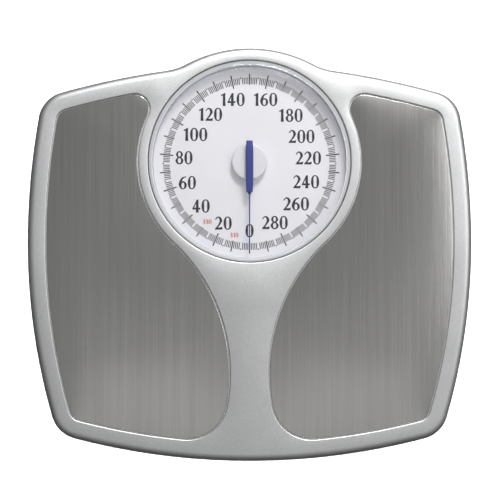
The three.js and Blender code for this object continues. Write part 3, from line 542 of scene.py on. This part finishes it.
brass = plated("brass", (0.75, 0.57, 0.3), (0.55, 0.4, 0.19), 0.3)
screw_low, screw_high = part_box("zero_screw")
SCREW_PITCH, THREAD_DEPTH, THREAD_STEPS = 1.5 * MM, 0.55 * MM, 20
PIN_RADIUS, PIN_LENGTH = 1.6 * MM, 1.2 * MM  # the plain end below the wheel
screw_radius = (screw_high.x - screw_low.x) / 2
screw_core = screw_radius - THREAD_DEPTH
screw_centre = Vector(((screw_low.x + screw_high.x) / 2, (screw_low.y + screw_high.y) / 2, 0))
thread_foot = wheel_high.z + 1 * MM
stem = [(0, screw_low.z), (PIN_RADIUS, screw_low.z), (PIN_RADIUS, screw_low.z + PIN_LENGTH),
        (screw_core, thread_foot), (screw_core, screw_high.z), (0, screw_high.z)]
bm = bmesh.new()
turned(bm, eased(stem, 0.3 * MM), screw_centre, 32)
# The thread's ridge starts a little inside the core, so that it grows out of it.
ridge = [(screw_core - 0.05 * MM, -THREAD_DEPTH), (screw_radius, -0.1 * MM), (screw_radius, 0.1 * MM),
         (screw_core - 0.05 * MM, THREAD_DEPTH)]
ridge_foot = thread_foot + 0.7 * MM
turns = int((screw_high.z - thread_foot - SCREW_PITCH) / SCREW_PITCH)
verts = [bm.verts.new((screw_centre.x + r, screw_centre.y, ridge_foot + z)) for r, z in ridge]
edges = [bm.edges.new(pair) for pair in zip(verts, verts[1:] + verts[:1])]
bmesh.ops.spin(bm, geom=verts + edges, cent=screw_centre, axis=(0, 0, 1), angle=turns * 2 * math.pi,
               steps=turns * THREAD_STEPS, dvec=(0, 0, SCREW_PITCH / THREAD_STEPS), use_merge=False,
               use_duplicate=False)
bmesh.ops.holes_fill(bm, edges=[edge for edge in bm.edges if edge.is_boundary], sides=len(ridge))
bmesh.ops.recalc_face_normals(bm, faces=bm.faces)
piece("threaded_screw", bm, brass, "zero_adjuster", "brass", "zero_screw")

# ---- Rack, pinion and bush ----
# Stamped brass rack and a brass pinion cut on the pointer's own shaft, which turns in a brass bush.
# A black plastic guide keeps the rack in mesh, and the lens's retainer is of the same plastic.

for name in ("rack", "pinion_shaft", "pinion_bush"):
    finished(name, brass)
for name in ("rack_guide", "lens_retainer"):
    finished(name, black_plastic)

# ---- Dial tray and dial ----
# A shallow steel tray enamelled white, and the flat white dial disc that lies in it. Both are
# faintly lilac, and they stay still while the pointer turns.


def enamel(name, bright, dark, roughness):
    """Smooth white paint or plastic with a thin gloss and a trace of unevenness."""
    made, spot = material(name, coat_weight=0.15, coat_roughness=0.2)
    cloud = spot.noise(18, 3)
    feed(made, base_color=cloud.step(0.3, 0.7).tint(dark, bright), roughness=roughness + 0.1 * cloud,
         normal=spot.noise(600, 2).bump(0.015 * MM, 0.4))
    return made


def disc(bore, low, high):
    """The profile of a flat disc of a CAD box's size, with a hole in its middle."""
    radius = (high.x - low.x) / 2
    return [(bore, low.z), (radius, low.z), (radius, high.z), (bore, high.z), (bore, low.z)]


tray_low, tray_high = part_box("dial_tray")
tray_centre = Vector(((tray_low.x + tray_high.x) / 2, (tray_low.y + tray_high.y) / 2, 0))
tray_radius = (tray_high.x - tray_low.x) / 2
TRAY_WALL = 1.2 * MM
DIAL_BORE = 2 * MM
tray_floor = tray_low.z + TRAY_WALL
tray = [(DIAL_BORE, tray_low.z), (tray_radius, tray_low.z), (tray_radius, tray_high.z),
        (tray_radius - TRAY_WALL, tray_high.z), (tray_radius - TRAY_WALL, tray_floor),
        (DIAL_BORE, tray_floor), (DIAL_BORE, tray_low.z)]
bm = bmesh.new()
turned(bm, eased(tray, TRAY_WALL), tray_centre, 160)
tray_enamel = enamel("tray_enamel", (0.86, 0.87, 0.93), (0.82, 0.83, 0.9), 0.35)
piece("enamel_tray", bm, tray_enamel, "base", "white_enamel", "dial_tray")

face_low, face_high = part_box("dial_face")
bm = bmesh.new()
turned(bm, eased(disc(DIAL_BORE, face_low, face_high), 0.3 * MM), tray_centre, 160)
dial_white = enamel("dial_white", (0.88, 0.875, 0.9), (0.86, 0.855, 0.88), 0.45)
piece("dial_disc", bm, dial_white, "base", "dial_print", "dial_face")

# ---- Printed scale ----
# Black and red ink on the dial: a line for each pound, none at the fives but a dot, longer lines
# at the tens, a number at each twenty from 0 to 280, and two red numbers past the full turn.

POUNDS = 300
NUMBER_EVERY, LONG_LINE_EVERY, DOT_EVERY = 20, 10, 5
INK = 0.06 * MM
ink_middle = face_high.z + INK / 2
LINES = {"numbered": (68.8 * MM, 80.9 * MM, 1.1 * MM), "long": (71 * MM, 80.9 * MM, 1.05 * MM),
         "short": (71.6 * MM, 77.6 * MM, 0.74 * MM)}  # inner radius, outer radius and width
DOT_RADIUS, DOT_REACH = 0.65 * MM, 77.4 * MM
print_centre = tray_centre - Vector((0, 0.8 * MM, 0))  # the print sits a little low on the disc


def dial_turn(pounds):
    """Turns a mark drawn straight down from the dial's centre to its place on the scale."""
    return Matrix.Translation(print_centre) @ Matrix.Rotation(-2 * math.pi * pounds / POUNDS, 4, "Z")


def inked(bm, inner, outer, width, pounds):
    """A printed line from one radius to another."""
    size = Matrix.Diagonal((width, outer - inner, INK, 1))
    middle = Matrix.Translation((0, -(inner + outer) / 2, ink_middle))
    bmesh.ops.create_cube(bm, size=1, matrix=dial_turn(pounds) @ middle @ size)


bm = bmesh.new()
for pounds in range(POUNDS):
    if pounds % NUMBER_EVERY == 0:
        inked(bm, *LINES["numbered"], pounds)
    elif pounds % LONG_LINE_EVERY == 0:
        inked(bm, *LINES["long"], pounds)
    elif pounds % DOT_EVERY == 0:
        dot = Matrix.Translation((0, -DOT_REACH, ink_middle))
        bmesh.ops.create_cone(bm, cap_ends=True, segments=12, radius1=DOT_RADIUS, radius2=DOT_RADIUS,
                              depth=INK, matrix=dial_turn(pounds) @ dot)
    else:
        inked(bm, *LINES["short"], pounds)

# Each figure is one unit high: its breadth, then closed outlines of (x, y, smooth) points.
S, C = True, False  # a smooth point and a corner


def oval(x, y, across, up):
    """A smooth closed outline of four points."""
    return [(x - across, y, S), (x, y + up, S), (x + across, y, S), (x, y - up, S)]


FIGURES = {
    "0": (0.62, [oval(0.31, 0.5, 0.31, 0.515), oval(0.31, 0.5, 0.125, 0.45)]),
    "1": (0.42, [[(0, 0.84, C), (0.03, 0.78, C), (0.16, 0.83, C), (0.155, 0.3, S), (0.14, 0, C), (0.36, 0, C),
                  (0.335, 0.3, S), (0.335, 1.01, C), (0.29, 1.01, C)]]),
    "2": (0.58, [[(0, 0, C), (0, 0.05, C), (0.28, 0.42, S), (0.365, 0.72, S), (0.235, 0.925, S),
                  (0.06, 0.77, C), (0.01, 0.82, C), (0.26, 1.01, S), (0.55, 0.74, S), (0.43, 0.45, S),
                  (0.2, 0.15, C), (0.42, 0.15, S), (0.57, 0.2, C), (0.54, 0, C)]]),
    "3": (0.56, [[(0.02, 0.84, C), (0.25, 1.01, S), (0.5, 0.78, S), (0.36, 0.54, C), (0.55, 0.27, S),
                  (0.22, -0.015, S), (0, 0.07, C), (0.03, 0.14, C), (0.2, 0.08, S), (0.35, 0.27, S),
                  (0.13, 0.49, C), (0.13, 0.54, C), (0.31, 0.75, S), (0.21, 0.92, S), (0.07, 0.79, C)]]),
    "4": (0.62, [[(0.34, 1, C), (0.46, 1, C), (0.465, 0.36, C), (0.6, 0.36, C), (0.6, 0.235, C),
                  (0.465, 0.235, C), (0.48, 0, C), (0.27, 0, C), (0.285, 0.235, C), (0, 0.235, C),
                  (0, 0.29, C)],
                 [(0.285, 0.36, C), (0.11, 0.36, C), (0.285, 0.74, C)]]),
    "6": (0.6, [[(0.53, 1, C), (0.24, 0.88, S), (0.04, 0.58, S), (0.01, 0.24, S), (0.3, -0.015, S),
                 (0.595, 0.28, S), (0.35, 0.6, S), (0.215, 0.56, C), (0.3, 0.8, S), (0.54, 0.94, C)],
                oval(0.305, 0.275, 0.125, 0.235)]),
    "8": (0.6, [[(0.3, 1.015, S), (0.56, 0.76, S), (0.44, 0.53, C), (0.6, 0.26, S), (0.3, -0.015, S),
                 (0, 0.26, S), (0.16, 0.53, C), (0.04, 0.76, S)],
                oval(0.3, 0.76, 0.115, 0.185), oval(0.3, 0.27, 0.135, 0.215)]),
}
FIGURE_GAP = 0.1
FIGURE_BOLDNESS = 0.012


def breadth(number):
    """A number's breadth for a height of one."""
    return sum(FIGURES[c][0] for c in number) + FIGURE_GAP * (len(number) - 1)


def lettered(bm, number, height, centre):
    """Adds a number to a mesh of ink, upright, with its middle at centre."""
    pen = -breadth(number) / 2
    curve = bpy.data.curves.new("figures", "CURVE")
    curve.dimensions = "2D"
    curve.fill_mode = "BOTH"
    curve.resolution_u = 10
    curve.extrude = INK / 2
    curve.offset = FIGURE_BOLDNESS * height
    for c in number:
        wide, shapes = FIGURES[c]
        for shape in shapes:
            spline = curve.splines.new("BEZIER")
            spline.bezier_points.add(len(shape) - 1)
            spline.use_cyclic_u = True
            for knot, (x, y, smooth) in zip(spline.bezier_points, shape):
                knot.co = ((pen + x) * height, (y - 0.5) * height, 0)
                knot.handle_left_type = knot.handle_right_type = "AUTO" if smooth else "VECTOR"
        pen += wide + FIGURE_GAP
    shown = bpy.data.objects.new("figures", curve)
    bpy.context.scene.collection.objects.link(shown)
    bpy.context.view_layer.update()
    flat_mesh = bpy.data.meshes.new_from_object(shown.evaluated_get(bpy.context.evaluated_depsgraph_get()))
    flat_mesh.transform(Matrix.Translation(centre))
    bm.from_mesh(flat_mesh)
    bpy.data.objects.remove(shown)
    bpy.data.meshes.remove(flat_mesh)


def number_place(number, height, reach, pounds):
    """The middle of a number whose furthest corner lies at the reach from the dial's centre."""
    across = breadth(number) * height / 2
    turn = 2 * math.pi * pounds / POUNDS
    out = Vector((-math.sin(turn), -math.cos(turn)))
    sideways = math.copysign(across, out.x) if abs(out.x) > 0.01 else 0
    corner = Vector((sideways, math.copysign(height / 2, out.y)))
    lean = out.dot(corner)
    radius = math.sqrt(lean ** 2 - corner.length_squared + reach ** 2) - lean
    return print_centre + Vector((*(out * radius), ink_middle))


FIGURE_HEIGHT, FIGURE_REACH = 11.4 * MM, 66.1 * MM
# How far right and up from that place each number is printed, in mm.
NUDGES = {20: (0, -0.9), 40: (-1.4, -0.4), 60: (-1.4, 0.4), 80: (-1.3, -0.9), 100: (-1.8, -0.9),
          120: (-2.7, -0.4), 140: (-3.1, 1.3), 160: (2.4, 1.3), 180: (4.7, -1.2), 200: (0.6, -2.3),
          220: (-1.1, -0.7), 260: (1.8, -0.4), 280: (0, -2.2)}
for pounds in range(0, POUNDS, NUMBER_EVERY):
    nudge = Vector((*NUDGES.get(pounds, (0, 0)), 0)) * MM
    place = number_place(str(pounds), FIGURE_HEIGHT, FIGURE_REACH, pounds)
    lettered(bm, str(pounds), FIGURE_HEIGHT, place + nudge)


def ink(name, bright, dark):
    """Matt printing ink, a little uneven."""
    made, spot = material(name)
    spread = spot.noise(500, 3)
    feed(made, base_color=spread.tint(dark, bright), roughness=0.45 + 0.2 * spread)
    return made


black_ink = ink("black_ink", (0.02, 0.02, 0.024), (0.006, 0.006, 0.008))
piece("dial_print_black", bm, black_ink, "base", "dial_print")
RED_HEIGHT, RED_REACH = 4 * MM, 68.5 * MM
bm = bmesh.new()
for pounds in (10, 30):
    number = str(POUNDS + pounds)
    lettered(bm, number, RED_HEIGHT, number_place(number, RED_HEIGHT, RED_REACH, pounds))
red_ink = ink("red_ink", (0.62, 0.06, 0.05), (0.5, 0.03, 0.03))
piece("dial_print_red", bm, red_ink, "base", "dial_print")

# ---- Pointer ----
# A white moulded hub pressed on the pinion's shaft, and a blue moulded bar over it that narrows to
# a long needle reaching the printed scale.

hub_low, hub_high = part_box("pointer_hub")
HUB_BORE, HUB_EDGE = 1.3 * MM, 1 * MM
white_plastic = enamel("hub_white", (0.8, 0.8, 0.83), (0.77, 0.77, 0.8), 0.34)
bm = bmesh.new()
turned(bm, eased(disc(HUB_BORE, hub_low, hub_high), HUB_EDGE), tray_centre, 96)
piece("white_hub", bm, white_plastic, "pointer", "white_plastic", "pointer_hub")

needle_low, needle_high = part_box("pointer_needle")
BAR = [(2.85, 18.6), (3.3, 9), (3.3, -17), (2.85, -27.3)]  # half width and place along the bar, mm
NEEDLE = [(2.3, -26.3), (0.6, -29.6), (0.5, -77)]
NEEDLE_DEPTH, POINTER_EDGE = 1 * MM, 0.3 * MM
blue, spot = material("pointer_blue", coat_weight=0.2, coat_roughness=0.15)
streak = spot.stretched((1800, 90, 600)).noise(1, 2)
# Painted shade: the blue darkens from the bar's middle towards its long edges, where light falls off over its
# sides.
across = spot.part(0).maths("ABSOLUTE", spot.part(0)).step(1.4 * MM, 3.3 * MM)
feed(blue, base_color=(0.7 * across + 0.3 * streak).tint((0.026, 0.044, 0.28), (0.015, 0.026, 0.19)),
     roughness=0.34 + 0.12 * streak, normal=streak.bump(0.03 * MM, 0.5))
bm = bmesh.new()
for shape, depth in ((BAR, needle_high.z - needle_low.z), (NEEDLE, NEEDLE_DEPTH)):
    path = [(x * MM, y * MM) for x, y in shape] + [(-x * MM, y * MM) for x, y in reversed(shape)]
    corners = [bm.verts.new((tray_centre.x + x, tray_centre.y + y, needle_low.z)) for x, y in path]
    raised = bmesh.ops.extrude_face_region(bm, geom=[bm.faces.new(corners)], use_keep_orig=True)
    top = [part for part in raised["geom"] if isinstance(part, bmesh.types.BMVert)]
    bmesh.ops.translate(bm, verts=top, vec=(0, 0, depth))
    rim = [part for part in raised["geom"] if isinstance(part, bmesh.types.BMEdge)]
    bmesh.ops.bevel(bm, geom=rim, offset=POINTER_EDGE, affect="EDGES", segments=3, profile=0.5, material=-1)
bmesh.ops.recalc_face_normals(bm, faces=bm.faces)
piece("blue_pointer", bm, blue, "pointer", "pointer_blue", "pointer_needle")

# ---- Platform cover ----
# One deep steel pressing painted satin silver: rounded top edge, two shallow recesses with rolled
# lips for the tread plates, and a round opening for the lens.

cover_low, cover_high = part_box("platform_cover")
COVER_EDGE = 7 * MM
HEM = 12 * MM  # height of the skirt's lowest band
TREAD_INSET = 17.7 * MM
RECESS_MARGIN = 1 * MM
LIP = 1 * MM
tread_low, tread_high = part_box("tread_plate_right")
RECESS_Z = tread_low.z - 0.3 * MM
# Beside the dial a tread follows its circle, and below it an arc of the opposite bend.
DIAL_RADIUS, WAIST_RADIUS, WAIST_ANGLE = 0.0995, 0.157, math.radians(-47)
DIAL_CORNER_RADIUS, FOOT_CORNER_RADIUS = 0.0125, 0.035
DIAL_SIDE = (0, tray_centre.y, -DIAL_RADIUS)
waist_out = WAIST_RADIUS + DIAL_RADIUS
WAIST = (waist_out * math.cos(WAIST_ANGLE), tray_centre.y + waist_out * math.sin(WAIST_ANGLE), WAIST_RADIUS)
inset = [(x, y, radius - TREAD_INSET) for x, y, radius in (
    FRONT, FRONT_CORNER, SIDE_LOW, SIDE_HIGH, REAR_CORNER, SHOULDER)]
RIGHT_TREAD = [*inset, touching(DIAL_SIDE, inset[-1], DIAL_CORNER_RADIUS, 1), DIAL_SIDE, WAIST,
               touching(WAIST, inset[0], FOOT_CORNER_RADIUS, 1)]
TREADS = {"right": RIGHT_TREAD, "left": mirrored(RIGHT_TREAD)}
OPENING = 90.2 * MM
OPENING_LIP = 0.8 * MM
bm = bmesh.new()
skirt = [(0, cover_low.z), (0, cover_low.z + HEM), *rounding(0, cover_high.z, COVER_EDGE, COVER_EDGE, 10)]
sides = [loop(bm, outline(BODY, grow), z) for grow, z in skirt]
skin(bm, sides)
lips = []
for arcs in TREADS.values():
    levels = [(RECESS_MARGIN, RECESS_Z), *rounding(RECESS_MARGIN, cover_high.z, -LIP, LIP, 5)]
    rings = [loop(bm, outline(arcs, grow), z) for grow, z in levels]
    skin(bm, rings)
    flat(bm, rings[0])
    lips.append(rings[-1])
eye = []
for grow, z in rounding(0, cover_high.z, -OPENING_LIP, OPENING_LIP, 4):
    turn = Matrix.Translation((tray_centre.x, tray_centre.y, z))
    made = bmesh.ops.create_circle(bm, segments=180, radius=OPENING + grow, matrix=turn)
    eye.append(list({edge for vert in made["verts"] for edge in vert.link_edges}))
skin(bm, eye)
flat(bm, sides[-1], eye[-1], *lips)
bmesh.ops.recalc_face_normals(bm, faces=bm.faces)
cover_finish = silver_paint("silver_paint", (0.66, 0.665, 0.67), (0.56, 0.565, 0.57))
cover = piece("silver_cover", bm, cover_finish, "platform", "silver_paint", "platform_cover")
walled(cover, SHEET)

# ---- Tread plates ----
# Two stainless plates brushed from front to rear, laid in the cover's recesses. Their top edges
# are broken so that they don't cut a bare foot.

TREAD_EDGE = 0.5 * MM
steel, spot = material("brushed_steel", metallic=1.0)
fine = spot.stretched((1500, 7, 1)).noise(1, 3, 0.6)
broad = spot.stretched((160, 2, 1)).noise(1, 3, 0.6)
brushing = (0.55 * fine + 0.45 * broad).step(0.25, 0.75)
feed(steel, base_color=brushing.tint((0.52, 0.515, 0.5), (0.64, 0.635, 0.615)),
     roughness=0.22 + 0.08 * fine, normal=fine.bump(0.05 * MM, 0.5))
# The sheen lamp leaves these plates out, because it would whiten their rear ends.
sheen_skips = bpy.data.collections.new("sheen_skips")
for side, arcs in TREADS.items():
    bm = bmesh.new()
    levels = [(0, tread_low.z), *rounding(0, tread_high.z, TREAD_EDGE, TREAD_EDGE, 3)]
    rings = [loop(bm, outline(arcs, grow), z) for grow, z in levels]
    skin(bm, rings)
    flat(bm, rings[0])
    flat(bm, rings[-1])
    bmesh.ops.recalc_face_normals(bm, faces=bm.faces)
    plate = piece(f"brushed_plate_{side}", bm, steel, "platform", "brushed_steel", f"tread_plate_{side}")
    sheen_skips.objects.link(plate)
for linked in sheen_skips.collection_objects:
    linked.light_linking.link_state = "EXCLUDE"
sheen.light_linking.receiver_collection = sheen_skips

# ---- Lens ----
# One clear polystyrene moulding: a shallow dome on a sloping wall, a flat rim that shows in the
# opening, and a flange underneath that the black retainer holds up.

lens_low, lens_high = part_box("dial_lens")
RIM, STEP, DOME_EDGE, FLANGE = 89.3 * MM, 86 * MM, 82.3 * MM, 93 * MM
DOME_THICKNESS, WALL_THICKNESS, FLANGE_THICKNESS = 2 * MM, 1.8 * MM, 1.6 * MM
LENS_RISE, DOME_STEPS = 1.4 * MM, 10
flange_high = lens_low.z + FLANGE_THICKNESS


def dome(edge, z):
    """A profile's shallow crown, from its edge to the axis."""
    shares = [1 - k / DOME_STEPS for k in range(DOME_STEPS + 1)]
    return [(edge * share, z - LENS_RISE * share * share) for share in shares]


lens = [*reversed(dome(DOME_EDGE - 1.6 * MM, lens_high.z - DOME_THICKNESS)),
        (STEP - WALL_THICKNESS, cover_high.z - WALL_THICKNESS), (STEP - WALL_THICKNESS, lens_low.z),
        (FLANGE, lens_low.z), (FLANGE, flange_high), (RIM, flange_high), (RIM, cover_high.z + 0.1 * MM),
        (STEP, cover_high.z + 0.3 * MM), *dome(DOME_EDGE, lens_high.z)]
bm = bmesh.new()
turned(bm, eased(lens, 0.4 * MM, 3), tray_centre, 180)

# The clear plastic mirrors 4 percent of what falls on it squarely, all of what grazes it, and lets
# the rest through. Its flat rim shows as a pale ring, and hairline scratches catch a little light.
SQUARE_ON, HAIR_SHARE, RIM_SHARE = 0.04, 0.02, 0.42
clear = bpy.data.materials.new("clear_lens")
clear.use_nodes = True
tree = clear.node_tree
shell = tree.nodes["Principled BSDF"]
shell.inputs["Base Color"].default_value = (0.84, 0.85, 0.87, 1)
shell.inputs["Roughness"].default_value = 0.06
spot = Wire(tree.nodes.new("ShaderNodeTexCoord").outputs["Object"])
centred = spot.node("ShaderNodeMapping", {}, {"Vector": spot, "Location": -tray_centre, "Scale": (1, 1, 0)})
radius = centred.node("ShaderNodeVectorMath", {"operation": "LENGTH"}, {0: centred}, "Value")
rim = radius.step(STEP - 0.5 * MM, STEP + 0.3 * MM) * (1 - radius.step(RIM + 0.1 * MM, RIM + 0.4 * MM))
facing = spot.node("ShaderNodeLayerWeight", {}, {"Blend": 0.5}, "Facing")
gloss = SQUARE_ON + (1 - SQUARE_ON) * facing.maths("POWER", facing, 5)
hairs = spot.noise(300, 4, 0.7).step(0.62, 0.8)
tree.links.new((1 - rim).socket, shell.inputs["Metallic"])
window = tree.nodes.new("ShaderNodeBsdfTransparent")
window.inputs["Color"].default_value = (0.985, 0.985, 0.99, 1)
opaque = gloss + HAIR_SHARE * hairs + RIM_SHARE * rim
mixer = tree.nodes.new("ShaderNodeMixShader")
tree.links.new(opaque.maths("MINIMUM", opaque, 1.0).socket, mixer.inputs["Fac"])
tree.links.new(window.outputs[0], mixer.inputs[1])
tree.links.new(shell.outputs[0], mixer.inputs[2])
tree.links.new(mixer.outputs[0], tree.nodes["Material Output"].inputs["Surface"])
piece("clear_lens", bm, clear, "platform", "clear_plastic", "dial_lens")

# ---- Bounds of the shown pieces ----
low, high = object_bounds()
